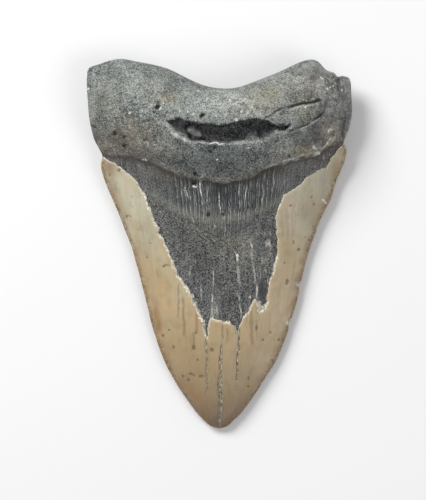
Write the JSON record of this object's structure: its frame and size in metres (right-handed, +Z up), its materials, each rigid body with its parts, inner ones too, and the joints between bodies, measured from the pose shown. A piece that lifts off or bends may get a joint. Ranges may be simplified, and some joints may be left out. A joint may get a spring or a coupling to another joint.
{
  "type": "fossil megalodon tooth",
  "caption": "Large triangular fossil shark tooth with a thick two-lobed root, lying flat with its domed face up.",
  "frame": {"origin": "on the surface the tooth lies on, under the middle of its box", "axes": "+Z up out of the domed face, +Y along the tooth from tip to root, +X across it to the right as seen from above with the root at the top"},
  "size_m": [0.0872, 0.1217, 0.0265],
  "materials": {
    "fossil": "dark grey grainy root and dentine, with semi-gloss olive-tan enamel on the blade"
  },
  "bodies": {
    "root": {"tooth": "fossil"}
  },
  "joints": []
}
